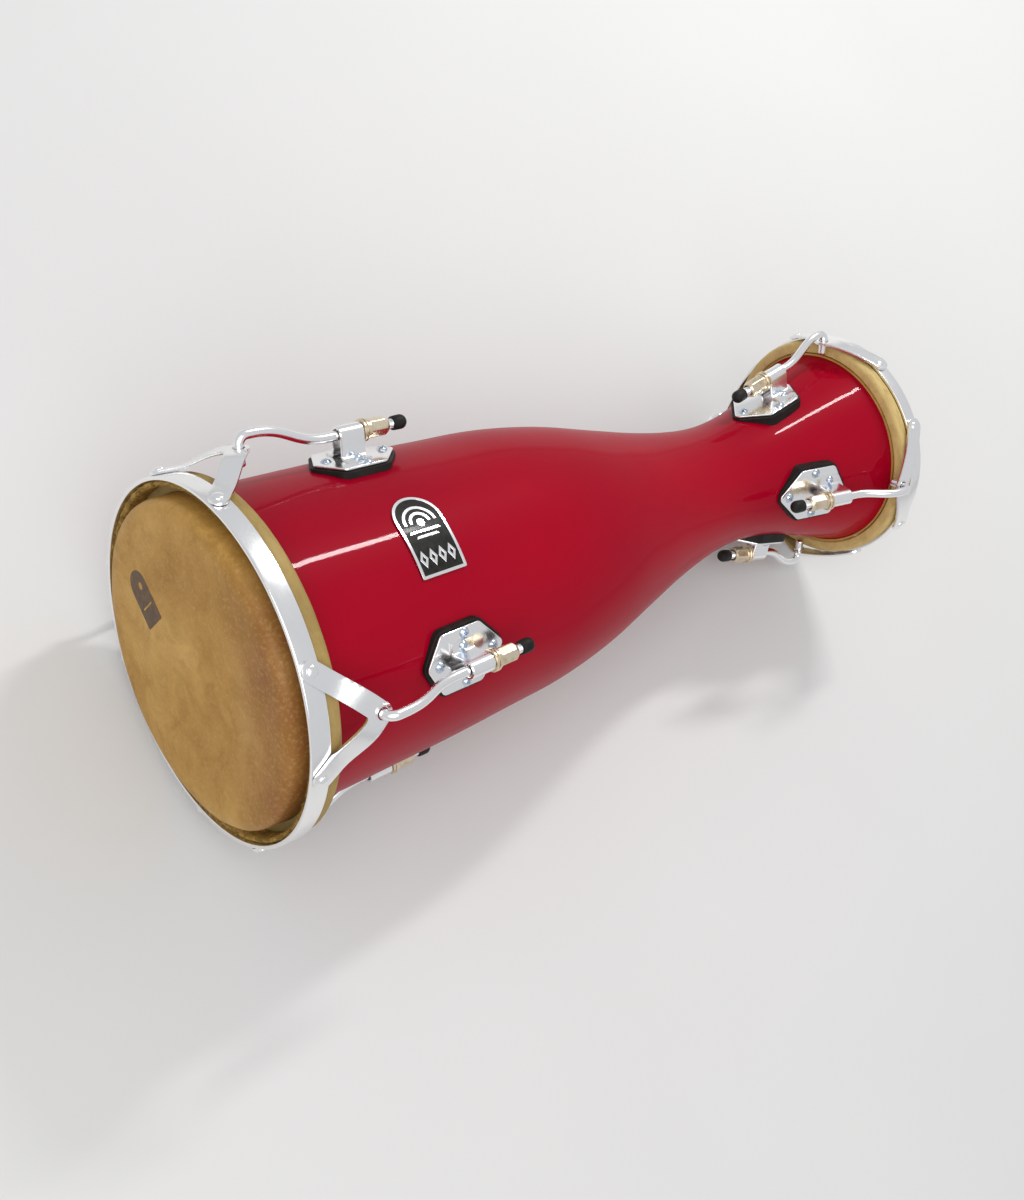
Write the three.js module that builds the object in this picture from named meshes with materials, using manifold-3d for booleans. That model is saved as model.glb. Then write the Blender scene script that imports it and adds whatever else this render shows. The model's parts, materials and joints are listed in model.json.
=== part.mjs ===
// Double-headed hourglass hand drum, lying on its two rims. Units are millimetres and +Z is up.
// The drum axis runs from the large head towards +X. Each end is built in its own frame: s is the
// distance from that end's rim face towards the waist, and r is the distance from the drum axis.
import * as THREE from 'three';
import { mergeVertices } from 'three/addons/utils/BufferGeometryUtils.js';
import Module from 'manifold-3d';

const wasm = await Module();
wasm.setup();

// ---- driving dimensions -------------------------------------------------------------------------
const DRUM_LENGTH = 734;          // rim face to rim face
const GAP = 0.3;                  // clearance between touching pieces
const LUGS_PER_END = 4;
const SHELL_WALL = 13;
const SKIN_THICKNESS = 1.8;
const ROUND_SEGMENTS = 36;
const RIM_SEGMENTS = 72;
const SHELL_STEPS = 16;
const SMALL_ROUND_SEGMENTS = 8;

// Outer profile of the wooden shell between the two skin collars: [distance from large rim face, radius].
const SHELL_PROFILE = [
  [30, 128.8], [75, 127.3], [120, 125.4], [178, 122.8], [237, 118.7], [296, 114.2], [355, 103.5],
  [414, 86.8], [460, 73.8], [500, 64.6], [534, 59.4], [563, 58.2], [594, 60.9], [625, 66.9],
  [654, 76.1], [684, 86.3], [706, 92.8],
];

const LARGE_END = {
  name: 'large',
  lugAngle: 39.3 * Math.PI / 180,  // first lug, from straight up
  rimRadius: 148,
  rimWidth: 16.6,
  rimWall: 3.7,
  hoopWidth: 12.4,
  hoopRadius: 145.4,
  collarRadius: 131.6,
  headProud: 9,
  clawHalfAngle: 16.5 * Math.PI / 180,
  rivetOffset: 8.6,
  apexOffset: 53,
  apexRadius: 159,
  rodCrest: 169,
  hookTip: 145.5,
  plateOffset: 153,
  plateTilt: 2.5 * Math.PI / 180,
  saddleShift: 0,           // saddle and nut along the plate
};

const SMALL_END = {
  name: 'small',
  lugAngle: 45 * Math.PI / 180,
  rimRadius: 112,
  rimWidth: 14,
  rimWall: 3.2,
  hoopWidth: 11,
  hoopRadius: 109.8,
  collarRadius: 97.4,
  headProud: 7,
  clawHalfAngle: 27 * Math.PI / 180,
  rivetOffset: 7.2,
  apexOffset: 31,
  apexRadius: 113.8,
  rodCrest: 122.6,
  hookTip: 101,
  plateOffset: 113,
  plateTilt: 13 * Math.PI / 180,
  saddleShift: -12,
  seatLift: 1.2,            // the shell is hollow here, so the plate stands on its tips
};

// Lug hardware, the same at both ends. x runs along the rod towards the waist from the plate centre,
// y is across the lug, and z is the height above the shell at the plate centre.
const GASKET_TOP = 2.8;
const GASKET_BORDER = 2.2;
const PLATE_BOTTOM = GASKET_TOP + GAP;
const PLATE_THICKNESS = 2.4;
const PLATE_TOP = PLATE_BOTTOM + PLATE_THICKNESS;
const PLATE_TIP = 38;             // half length along the rod
const PLATE_SHOULDER_RIM = -24;   // widest points of the plate, towards the rim
const PLATE_SHOULDER_WAIST = 14;  // and towards the waist
const PLATE_HALF_WIDTH = 25;
const ROD_HEIGHT = 24.5;
const ROD_RADIUS = 4;
const SADDLE_START = -16;
const SADDLE_END = 6;
const SADDLE_OUTER = 7.4;
const SADDLE_INNER = 5;
const FOOT_REACH = 16;
const FOOT_THICKNESS = 2.2;
const SCREW_RADIUS = 4.1;
const SCREW_HEIGHT = 2.8;
const SCREW_SPOTS = [[-26.5, 0], [26.5, 0], [-1.5, 20.3], [-1.5, -20.3]];
const FOOT_SCREW_Y = 11.8;

const NUT_START = SADDLE_END + GAP;
const NUT_FLANGE = 4.6;
const NUT_FLANGE_RADIUS = 9.2;
const NUT_COLLAR = 2.8;
const NUT_COLLAR_RADIUS = 7.9;
const NUT_HEX = 16.8;
const NUT_ACROSS_FLATS = 14;
const NUT_TAPER = 3;
const NUT_BORE = 5;
const NUT_END = NUT_START + NUT_FLANGE + NUT_COLLAR + NUT_HEX;
const THREAD_SHOWING = 6;
const CAP_START = NUT_END + THREAD_SHOWING;
const CAP_RADIUS = 6.2;
const CAP_LENGTH = 13.4;
const ROD_INTO_CAP = 7;

const CLAW_WIDTH = 16;
const CLAW_THICKNESS = 2.8;
const CLAW_HOLE = 4.7;
const RIVET_RADIUS = 4.4;
const RIVET_HEIGHT = 1.7;

const BADGE_CENTRE = 153.5;       // distance from the large rim face
const BADGE_ANGLE = 5.8 * Math.PI / 180;
const BADGE_WIDTH = 42.4;
const BADGE_STRAIGHT = 46;
const BADGE_THICKNESS = 1.5;

// ---- materials ----------------------------------------------------------------------------------
const lacquer = { color: 0xa30020, roughness: 0.15, metalness: 0.0 };
const rawhide = { color: 0xb58a4e, roughness: 0.7, metalness: 0.0 };
const wrap = { color: 0xb49a5a, roughness: 0.75, metalness: 0.0 };
const chrome = { color: 0xe4e6e8, roughness: 0.08, metalness: 1.0 };
const zinc = { color: 0xd9c9a4, roughness: 0.25, metalness: 0.9 };
const rubber = { color: 0x1a1a1a, roughness: 0.8, metalness: 0.0 };
const enamel = { color: 0x20201f, roughness: 0.3, metalness: 0.2 };

function mesh(name, geometry, look) {
  const part = new THREE.Mesh(geometry, new THREE.MeshStandardMaterial(look));
  part.name = name;
  return part;
}

// ---- solids -------------------------------------------------------------------------------------

// Vertices shared, zero-area triangles dropped, faces out.
function weld(source) {
  const loose = new THREE.BufferGeometry();
  loose.setAttribute('position', source.getAttribute('position').clone());
  if (source.index) loose.setIndex(source.index.clone());
  const merged = mergeVertices(loose, 1e-3);
  const index = merged.index.array;
  const point = merged.getAttribute('position');
  const [a, b, c] = [new THREE.Vector3(), new THREE.Vector3(), new THREE.Vector3()];
  const kept = [];
  let volume = 0;
  for (let i = 0; i < index.length; i += 3) {
    const [p, q, r] = [index[i], index[i + 1], index[i + 2]];
    if (p === q || q === r || r === p) continue;
    kept.push(p, q, r);
    a.fromBufferAttribute(point, p);
    b.fromBufferAttribute(point, q);
    c.fromBufferAttribute(point, r);
    volume += a.dot(b.cross(c));
  }
  if (volume < 0) kept.reverse();
  merged.setIndex(kept);
  return merged;
}

function toManifold(geometry) {
  const welded = weld(geometry);
  const vertProperties = new Float32Array(welded.getAttribute('position').array);
  const triVerts = new Uint32Array(welded.index.array);
  return new wasm.Manifold(new wasm.Mesh({ numProp: 3, vertProperties, triVerts }));
}

function toGeometry(manifold) {
  const result = manifold.getMesh();
  const geometry = new THREE.BufferGeometry();
  geometry.setAttribute('position', new THREE.BufferAttribute(result.vertProperties, 3));
  geometry.setIndex(new THREE.BufferAttribute(result.triVerts, 1));
  geometry.computeVertexNormals();
  return geometry;
}

function join(...geometries) {
  return toGeometry(geometries.map(toManifold).reduce((sum, next) => sum.add(next)));
}

function cut(geometry, ...tools) {
  return toGeometry(tools.map(toManifold).reduce((rest, tool) => rest.subtract(tool), toManifold(geometry)));
}

function common(first, second) {
  return toGeometry(toManifold(first).intersect(toManifold(second)));
}

// Solid of revolution about X from [x, radius] points, with a flat facet at the bottom.
function revolve(points, segments) {
  const profile = points.map(([x, radius]) => new THREE.Vector2(radius, x));
  const geometry = new THREE.LatheGeometry(profile, segments, Math.PI / segments);
  return weld(geometry.rotateZ(-Math.PI / 2));
}

function ring(start, width, inner, outer, segments) {
  const end = start + width;
  return revolve([[start, inner], [start, outer], [end, outer], [end, inner], [start, inner]], segments);
}

// Round bar along X.
function bar(start, end, radius, segments, endRadius = radius) {
  const geometry = new THREE.CylinderGeometry(endRadius, radius, end - start, segments);
  return geometry.rotateZ(-Math.PI / 2).translate((start + end) / 2, 0, 0);
}

// Upright disc along Z.
function disc(x, y, bottom, height, radius, segments, topRadius = radius) {
  const geometry = new THREE.CylinderGeometry(topRadius, radius, height, segments);
  return geometry.rotateX(Math.PI / 2).translate(x, y, bottom + height / 2);
}

function prism(outline, bottom, height) {
  const shape = new THREE.Shape(outline.map(([x, y]) => new THREE.Vector2(x, y)));
  const settings = { depth: height, bevelEnabled: false, curveSegments: 8 };
  return new THREE.ExtrudeGeometry(shape, settings).translate(0, 0, bottom);
}

// ---- shell --------------------------------------------------------------------------------------
const shellCurve = new THREE.SplineCurve(SHELL_PROFILE.map(([x, r]) => new THREE.Vector2(x, r)));
const shellPoints = shellCurve.getPoints(SHELL_STEPS).map((p) => [p.x, p.y]);

function shellRadius(x) {
  const next = shellPoints.findIndex(([px]) => px >= x);
  const [x0, r0] = shellPoints[Math.max(next - 1, 0)];
  const [x1, r1] = shellPoints[Math.max(next, 1)];
  return r0 + (r1 - r0) * (x - x0) / (x1 - x0);
}

// The whole outside of the shell, grown by a clearance, as a full solid for cutting other pieces.
function shellOutside(grow) {
  const skinSide = shellPoints.map(([x, r]) => [x, r + grow]);
  const [first, last] = [skinSide[0], skinSide[skinSide.length - 1]];
  return revolve([[first[0], 0], ...skinSide, [last[0], 0]], 96);
}

function bearingEdge(end) {
  const radius = end.collarRadius - SKIN_THICKNESS - 0.5;
  const face = SKIN_THICKNESS + GAP - end.headProud;
  const collarEnd = end.rimWidth + end.hoopWidth;
  return [[collarEnd, radius], [face + 7, radius], [face + 2, radius - 3.2], [face, radius - 9]];
}

function buildShell() {
  const largeEdge = bearingEdge(LARGE_END).reverse();
  const smallEdge = bearingEdge(SMALL_END).map(([s, r]) => [DRUM_LENGTH - s, r]);
  const outside = [...largeEdge, ...shellPoints.slice(1), ...smallEdge];
  const inside = outside
    .filter((point, i) => i % 3 === 0 && point[1] < 128)
    .map(([x, r]) => [x, r - SHELL_WALL]);
  const [firstFace, lastFace] = [outside[0], outside[outside.length - 1]];
  const bore = [
    [lastFace[0], lastFace[1] - 5],
    ...inside.reverse().filter(([x]) => x > firstFace[0] + 20 && x < lastFace[0] - 12),
    [firstFace[0], firstFace[1] - 5],
  ];
  return revolve([...outside, ...bore, outside[0]], ROUND_SEGMENTS);
}

// ---- heads --------------------------------------------------------------------------------------

// Rawhide head: flat playing face, round shoulder over the bearing edge and collar down the shell.
function buildSkin(end) {
  const outer = end.collarRadius;
  const inner = outer - SKIN_THICKNESS;
  const face = -end.headProud;
  const back = face + SKIN_THICKNESS;
  const collarEnd = end.rimWidth + end.hoopWidth + GAP;
  return revolve([
    [face, 0], [face, outer - 11], [face + 1.6, outer - 4.4], [face + 8, outer],
    [collarEnd, outer], [collarEnd, inner], [back + 6.5, inner], [back + 1.6, inner - 3],
    [back, inner - 9], [back, 0],
  ], ROUND_SEGMENTS);
}

// Flesh hoop with the skin edge wrapped round it, its outer corners rounded.
function buildFleshHoop(end) {
  const start = end.rimWidth + GAP;
  const stop = start + end.hoopWidth;
  const inner = end.collarRadius + GAP;
  const outer = end.hoopRadius;
  return revolve([
    [start, inner], [start, outer], [stop - 4, outer], [stop, outer - 4], [stop, inner + 2],
    [stop - 2, inner], [start, inner],
  ], ROUND_SEGMENTS);
}

// ---- lug hardware -------------------------------------------------------------------------------
function plateOutline(border) {
  const shoulder = PLATE_HALF_WIDTH + border;
  return [
    [-PLATE_TIP - border * 1.3, 0], [PLATE_SHOULDER_RIM - border * 0.6, -shoulder],
    [PLATE_SHOULDER_WAIST + border * 0.6, -shoulder], [PLATE_TIP + border * 1.3, 0],
    [PLATE_SHOULDER_WAIST + border * 0.6, shoulder], [PLATE_SHOULDER_RIM - border * 0.6, shoulder],
  ];
}

function screwHead(x, y, bottom) {
  const height = SCREW_HEIGHT + 0.5;
  return disc(x, y, bottom - 0.5, height, SCREW_RADIUS, SMALL_ROUND_SEGMENTS, SCREW_RADIUS * 0.55);
}

// Plate, saddle over the rod with a foot each side, and the screw heads.
function buildBracket(end) {
  const plate = prism(plateOutline(0), PLATE_BOTTOM, PLATE_THICKNESS);
  const [start, stop] = [SADDLE_START + end.saddleShift, SADDLE_END + end.saddleShift];
  const saddleLength = stop - start;
  const middle = (start + stop) / 2;
  const legHeight = ROD_HEIGHT - PLATE_TOP + 0.5;
  const legs = new THREE.BoxGeometry(saddleLength, SADDLE_OUTER * 2, legHeight)
    .translate(middle, 0, ROD_HEIGHT - legHeight / 2);
  const crown = bar(start, stop, SADDLE_OUTER, 16).translate(0, 0, ROD_HEIGHT);
  const tunnelHeight = ROD_HEIGHT - PLATE_TOP;
  const tunnel = new THREE.BoxGeometry(saddleLength + 2, SADDLE_INNER * 2, tunnelHeight)
    .translate(middle, 0, PLATE_TOP + tunnelHeight / 2);
  const eye = bar(start - 1, stop + 1, SADDLE_INNER, 12).translate(0, 0, ROD_HEIGHT);
  const saddle = cut(join(legs, crown), tunnel, eye);
  const feet = [-1, 1].map((side) => {
    const reach = FOOT_REACH - SADDLE_INNER;
    return new THREE.BoxGeometry(saddleLength, reach, FOOT_THICKNESS + 0.5)
      .translate(middle, side * (SADDLE_INNER + reach / 2), PLATE_TOP + FOOT_THICKNESS / 2 - 0.25);
  });
  const heads = SCREW_SPOTS.map(([x, y]) => screwHead(x, y, PLATE_TOP));
  const footHeads = [-1, 1].map((side) => screwHead(middle, side * FOOT_SCREW_Y, PLATE_TOP + FOOT_THICKNESS));
  return join(plate, saddle, ...feet, ...heads, ...footHeads);
}

function buildNut() {
  const flangeEnd = NUT_START + NUT_FLANGE;
  const collarEnd = flangeEnd + NUT_COLLAR;
  const corner = NUT_ACROSS_FLATS / 2 / Math.cos(Math.PI / 6);
  const flange = bar(NUT_START, flangeEnd + 0.2, NUT_FLANGE_RADIUS, 16);
  const collar = bar(flangeEnd, collarEnd + 0.2, NUT_COLLAR_RADIUS, 16);
  const hex = bar(collarEnd, NUT_END - NUT_TAPER, corner, 6);
  const taper = bar(NUT_END - NUT_TAPER - 0.01, NUT_END, corner, 6, corner * 0.78);
  const bore = bar(NUT_START - 1, NUT_END + 1, NUT_BORE, SMALL_ROUND_SEGMENTS);
  return cut(join(flange, collar, hex, taper), bore);
}

// Ball-ended rubber cap pushed over the rod end.
function buildCap() {
  const end = CAP_START + CAP_LENGTH;
  const socketEnd = CAP_START + ROD_INTO_CAP + GAP;
  const socket = ROD_RADIUS + GAP;
  return revolve([
    [CAP_START, socket], [CAP_START, CAP_RADIUS], [end - 4, CAP_RADIUS], [end - 1, CAP_RADIUS * 0.6],
    [end, 0], [socketEnd, 0], [socketEnd, socket], [CAP_START, socket],
  ], 10);
}

// Places a lug-frame point in the end frame's s, r plane.
function lugPoint(end, x, z) {
  const surface = end.surface;
  const s = end.plateOffset + x * Math.cos(end.plateTilt) + z * Math.sin(end.plateTilt);
  const r = surface - x * Math.sin(end.plateTilt) + z * Math.cos(end.plateTilt);
  return [s, r];
}

// Rod centreline in the s, r plane: hook through the claw, crest, S-bend, straight run to the cap.
function rodPath(end) {
  const bend = 7;
  const hookTop = end.rodCrest - bend;
  const straight = lugPoint(end, SADDLE_START - 8 + end.saddleShift, ROD_HEIGHT);
  const tail = lugPoint(end, CAP_START + ROD_INTO_CAP + end.saddleShift, ROD_HEIGHT);
  const crestStart = end.apexOffset + bend;
  const run = straight[0] - crestStart;
  const slope = Math.tan(end.plateTilt);
  const path = new THREE.CurvePath();
  const at = (s, r) => new THREE.Vector3(s, 0, r);
  path.add(new THREE.LineCurve3(at(end.apexOffset, end.hookTip), at(end.apexOffset, hookTop)));
  path.add(new THREE.CubicBezierCurve3(
    at(end.apexOffset, hookTop), at(end.apexOffset, hookTop + bend * 0.56),
    at(crestStart - bend * 0.44, end.rodCrest), at(crestStart, end.rodCrest),
  ));
  path.add(new THREE.CubicBezierCurve3(
    at(crestStart, end.rodCrest), at(crestStart + run * 0.5, end.rodCrest),
    at(straight[0] - run * 0.45, straight[1] + slope * run * 0.45), at(...straight),
  ));
  path.add(new THREE.LineCurve3(at(...straight), at(...tail)));
  return path;
}

function buildRod(end) {
  const stations = [];
  const stepsPerPiece = [1, 3, 7, 1];
  rodPath(end).curves.forEach((curve, piece) => {
    const steps = stepsPerPiece[piece];
    for (let i = piece === 0 ? 0 : 1; i <= steps; i += 1) {
      stations.push([curve.getPoint(i / steps), curve.getTangent(i / steps)]);
    }
  });
  const sides = 8;
  const positions = [];
  const index = [];
  const across = new THREE.Vector3(0, 1, 0);
  stations.forEach(([centre, along]) => {
    const lift = new THREE.Vector3().crossVectors(along, across).normalize();
    for (let k = 0; k < sides; k += 1) {
      const turn = (k + 0.5) / sides * Math.PI * 2;
      const rim = across.clone().multiplyScalar(Math.cos(turn)).addScaledVector(lift, Math.sin(turn));
      positions.push(...centre.clone().addScaledVector(rim, ROD_RADIUS).toArray());
    }
  });
  for (let row = 0; row + 1 < stations.length; row += 1) {
    for (let k = 0; k < sides; k += 1) {
      const [a, b] = [row * sides + k, row * sides + (k + 1) % sides];
      index.push(a, b, a + sides, b, b + sides, a + sides);
    }
  }
  const last = (stations.length - 1) * sides;
  for (let k = 1; k + 1 < sides; k += 1) {
    index.push(0, k + 1, k, last, last + k, last + k + 1);
  }
  const geometry = new THREE.BufferGeometry();
  geometry.setAttribute('position', new THREE.Float32BufferAttribute(positions, 3));
  geometry.setIndex(index);
  return weld(geometry);
}

// One leg of a claw: a flat strap with round ends, from its rivet on the rim to the apex.
function clawLeg(end, side) {
  const seat = end.rimRadius + GAP + CLAW_THICKNESS / 2 + 0.1;
  const half = CLAW_WIDTH / 2;
  const arcLength = end.clawHalfAngle * end.rimRadius;
  const rise = end.apexOffset - end.rivetOffset;
  const length = Math.hypot(arcLength, rise);
  const stops = [-half, -half * 0.7, 0, length * 0.12, length * 0.25, length * 0.45, length * 0.65,
    length * 0.85, length + half * 0.2, length + half * 0.75, length + half];
  const positions = [];
  const index = [];
  const place = (distance, offset, lift) => {
    const along = distance / length;
    const s = end.rivetOffset + rise * along + offset * arcLength / length;
    const arc = arcLength * (1 - along) + offset * rise / length;
    const angle = side * arc / end.rimRadius;
    const blend = THREE.MathUtils.smoothstep(distance, length * 0.22, length * 0.85);
    const radius = seat + (end.apexRadius - seat) * blend + lift;
    return [s, radius * Math.sin(angle), radius * Math.cos(angle)];
  };
  stops.forEach((distance) => {
    const past = Math.max(-distance, distance - length, 0);
    const width = Math.sqrt(Math.max(half * half - past * past, 0.6));
    const lift = CLAW_THICKNESS / 2;
    positions.push(...place(distance, -width, -lift), ...place(distance, width, -lift));
    positions.push(...place(distance, width, lift), ...place(distance, -width, lift));
  });
  for (let row = 0; row + 1 < stops.length; row += 1) {
    for (let k = 0; k < 4; k += 1) {
      const [a, b] = [row * 4 + k, row * 4 + (k + 1) % 4];
      index.push(a, b, a + 4, b, b + 4, a + 4);
    }
  }
  const last = (stops.length - 1) * 4;
  index.push(0, 2, 1, 0, 3, 2, last, last + 1, last + 2, last, last + 2, last + 3);
  const geometry = new THREE.BufferGeometry();
  geometry.setAttribute('position', new THREE.Float32BufferAttribute(positions, 3));
  geometry.setIndex(index);
  return weld(geometry);
}

// V-shaped claw: two legs, two domed rivets and the hole for the rod hook.
function buildClaw(end) {
  const top = end.rimRadius + GAP + CLAW_THICKNESS;
  const dome = () => disc(end.rivetOffset, 0, top - 0.6, RIVET_HEIGHT + 0.6, RIVET_RADIUS,
    SMALL_ROUND_SEGMENTS, RIVET_RADIUS * 0.55);
  const rivets = [-1, 1].map((side) => dome().rotateX(-side * end.clawHalfAngle));
  const hole = disc(end.apexOffset, 0, end.apexRadius - 8, 16, CLAW_HOLE, SMALL_ROUND_SEGMENTS);
  return cut(join(clawLeg(end, -1), clawLeg(end, 1), ...rivets), hole);
}

function buildGasket(end, toDrum) {
  const block = prism(plateOutline(GASKET_BORDER), -14, GASKET_TOP + 14);
  const shell = shellOutside(GAP + 0.1).applyMatrix4(toDrum.clone().invert());
  return cut(block, shell);
}

// Raised arch-shaped nameplate with a plain face, following the curve of the shell.
function buildBadge() {
  const half = BADGE_WIDTH / 2;
  const outline = [[-half, 0], [half, 0], [half, BADGE_STRAIGHT]];
  for (let i = 1; i < 12; i += 1) {
    const turn = i / 12 * Math.PI;
    outline.push([half * Math.cos(turn), BADGE_STRAIGHT + half * Math.sin(turn)]);
  }
  outline.push([-half, BADGE_STRAIGHT]);
  const height = BADGE_STRAIGHT + half;
  const block = prism(outline.map(([x, y]) => [x + BADGE_CENTRE, y - height / 2]), 90, 60);
  block.rotateX(-BADGE_ANGLE);
  return cut(common(block, shellOutside(GAP + 0.1 + BADGE_THICKNESS)), shellOutside(GAP + 0.1));
}

// ---- assembly -----------------------------------------------------------------------------------
function buildEnd(end) {
  const group = new THREE.Group();
  const { name } = end;
  const rim = ring(0, end.rimWidth, end.rimRadius - end.rimWall, end.rimRadius, RIM_SEGMENTS);
  group.add(mesh(`${name}_rim`, rim, chrome));
  group.add(mesh(`${name}_flesh_hoop`, buildFleshHoop(end), wrap));
  group.add(mesh(`${name}_skin`, buildSkin(end), rawhide));
  const claw = buildClaw(end);
  const rod = buildRod(end);
  const bracket = buildBracket(end);
  for (let k = 1; k <= LUGS_PER_END; k += 1) {
    const lug = new THREE.Group();
    lug.rotation.x = end.lugAngle + (k - 1) * Math.PI * 2 / LUGS_PER_END;
    lug.add(mesh(`${name}_claw_${k}`, claw, chrome));
    lug.add(mesh(`${name}_tuning_rod_${k}`, rod, chrome));
    const seat = new THREE.Group();
    seat.position.set(end.plateOffset, 0, end.surface);
    seat.rotation.y = end.plateTilt;
    seat.add(mesh(`${name}_lug_bracket_${k}`, bracket, chrome));
    seat.add(mesh(`${name}_nut_${k}`, nut.clone().translate(end.saddleShift, 0, ROD_HEIGHT), zinc));
    seat.add(mesh(`${name}_rod_cap_${k}`, cap.clone().translate(end.saddleShift, 0, ROD_HEIGHT), rubber));
    const gasket = mesh(`${name}_gasket_${k}`, new THREE.BufferGeometry(), rubber);
    seat.add(gasket);
    lug.add(seat);
    group.add(lug);
  }
  return group;
}

LARGE_END.surface = shellRadius(LARGE_END.plateOffset);
SMALL_END.surface = shellRadius(DRUM_LENGTH - SMALL_END.plateOffset) + SMALL_END.seatLift;
const nut = buildNut();
const cap = buildCap();

const drum = new THREE.Group();
drum.add(mesh('shell', buildShell(), lacquer));
drum.add(mesh('badge', buildBadge(), enamel));
const largeGroup = buildEnd(LARGE_END);
const smallGroup = buildEnd(SMALL_END);
smallGroup.position.x = DRUM_LENGTH;
smallGroup.rotation.z = Math.PI;
drum.add(largeGroup, smallGroup);

// Gaskets are cut to the shell where they sit, so they are made once every frame is in place.
drum.updateMatrixWorld(true);
drum.traverse((part) => {
  if (part.isMesh && part.name.includes('gasket')) {
    part.geometry = buildGasket(part.name.startsWith('large') ? LARGE_END : SMALL_END, part.matrixWorld);
  }
});

// The drum lies on its two rims, so the axis tips down towards the small end, and the origin is the
// middle of its footprint.
const facet = Math.cos(Math.PI / RIM_SEGMENTS);
const contactRun = DRUM_LENGTH - LARGE_END.rimWidth;
const tip = Math.atan((LARGE_END.rimRadius - SMALL_END.rimRadius) * facet / contactRun);
const part = new THREE.Group();
part.add(drum);
drum.rotation.y = tip;
part.updateMatrixWorld(true);
const box = new THREE.Box3().setFromObject(part, true);
const middle = box.getCenter(new THREE.Vector3());
drum.position.set(-middle.x, -middle.y, -box.min.z);
part.updateMatrixWorld(true);

export default part;
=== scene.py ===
"""Double-headed hourglass drum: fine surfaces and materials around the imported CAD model.

Lengths in this script are millimetres. They become metres where a mesh is made.
Each end of the drum has its own frame, as in the CAD model: s runs from the rim face towards the
waist, and r is the distance from the drum axis.
"""
import json
import math
import random

import bmesh
import bpy
from mathutils import Matrix, Vector, noise


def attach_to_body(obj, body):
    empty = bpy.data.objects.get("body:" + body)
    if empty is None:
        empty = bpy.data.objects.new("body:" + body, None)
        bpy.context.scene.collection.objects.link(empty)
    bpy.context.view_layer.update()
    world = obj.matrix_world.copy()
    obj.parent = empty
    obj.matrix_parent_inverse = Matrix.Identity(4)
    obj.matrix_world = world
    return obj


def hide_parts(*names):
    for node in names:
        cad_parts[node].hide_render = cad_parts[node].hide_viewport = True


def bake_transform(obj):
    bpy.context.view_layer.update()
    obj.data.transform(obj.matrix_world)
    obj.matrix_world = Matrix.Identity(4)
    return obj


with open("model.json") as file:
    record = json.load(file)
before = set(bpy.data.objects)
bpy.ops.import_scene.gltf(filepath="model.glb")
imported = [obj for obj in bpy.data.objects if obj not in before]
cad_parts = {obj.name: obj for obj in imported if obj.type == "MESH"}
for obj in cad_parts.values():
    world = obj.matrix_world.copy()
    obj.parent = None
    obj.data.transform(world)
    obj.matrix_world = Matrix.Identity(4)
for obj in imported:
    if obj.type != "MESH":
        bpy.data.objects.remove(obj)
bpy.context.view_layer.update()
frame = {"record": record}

MM = 0.001
TURN = 2 * math.pi
random.seed(7)

# ---- driving dimensions, the same as the CAD model's ---------------------------------------------
DRUM_LENGTH = 734
GAP = 0.3
LUGS = 4
SHELL_WALL = 13
SKIN_THICKNESS = 1.8
SHELL_PROFILE = [
    (30, 128.8), (75, 127.3), (120, 125.4), (178, 122.8), (237, 118.7), (296, 114.2), (355, 103.5),
    (414, 86.8), (460, 73.8), (500, 64.6), (534, 59.4), (563, 58.2), (594, 60.9), (625, 66.9),
    (654, 76.1), (684, 86.3), (706, 92.8),
]
LARGE = dict(
    name="large", lug_angle=math.radians(39.3), rim=148, rim_width=16.6, rim_wall=3.7, hoop_width=12.4,
    hoop=145.4, collar=131.6, proud=9, claw_angle=math.radians(16.5), rivet_s=8.6, apex_s=53, apex_r=159,
    crest=169, hook_tip=145.5, plate_s=153, tilt=math.radians(2.5), saddle_shift=0, seat_lift=0,
)
SMALL = dict(
    name="small", lug_angle=math.radians(45), rim=112, rim_width=14, rim_wall=3.2, hoop_width=11,
    hoop=109.8, collar=97.4, proud=7, claw_angle=math.radians(27), rivet_s=7.2, apex_s=31, apex_r=113.8,
    crest=122.6, hook_tip=101, plate_s=113, tilt=math.radians(13), saddle_shift=-12, seat_lift=1.2,
)
ENDS = (LARGE, SMALL)
RIM_FACET = math.cos(math.pi / 72)

GASKET_TOP = 2.8
GASKET_BORDER = 2.2
PLATE_BOTTOM = GASKET_TOP + GAP
PLATE_THICKNESS = 2.4
PLATE_TOP = PLATE_BOTTOM + PLATE_THICKNESS
PLATE_TIP = 38
PLATE_SHOULDER_RIM = -24
PLATE_SHOULDER_WAIST = 14
PLATE_HALF_WIDTH = 25
ROD_HEIGHT = 24.5
ROD_RADIUS = 4
SADDLE_START = -16
SADDLE_END = 6
SADDLE_OUTER = 7.4
SADDLE_INNER = 5
FOOT_REACH = 16
SCREW_RADIUS = 4.1
SCREW_HEIGHT = 2.8
SCREW_SPOTS = ((-26.5, 0), (26.5, 0), (-1.5, 20.3), (-1.5, -20.3))
FOOT_SCREW_Y = 11.8

NUT_START = SADDLE_END + GAP
NUT_FLANGE = 4.6
NUT_FLANGE_RADIUS = 9.2
NUT_COLLAR = 2.8
NUT_COLLAR_RADIUS = 7.9
NUT_HEX = 16.8
NUT_ACROSS_FLATS = 14
NUT_BORE = 5
NUT_END = NUT_START + NUT_FLANGE + NUT_COLLAR + NUT_HEX
THREAD_SHOWING = 6
THREAD_PITCH = 1.25
CAP_START = NUT_END + THREAD_SHOWING
CAP_RADIUS = 6.2
CAP_LENGTH = 13.4

CLAW_WIDTH = 16
CLAW_THICKNESS = 2.8
CLAW_HOLE = 4.7
RIVET_HEIGHT = 1.7

BADGE_CENTRE = 153.5
BADGE_ANGLE = math.radians(5.8)
BADGE_WIDTH = 42.4
BADGE_STRAIGHT = 46
BADGE_THICKNESS = 1.5

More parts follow.
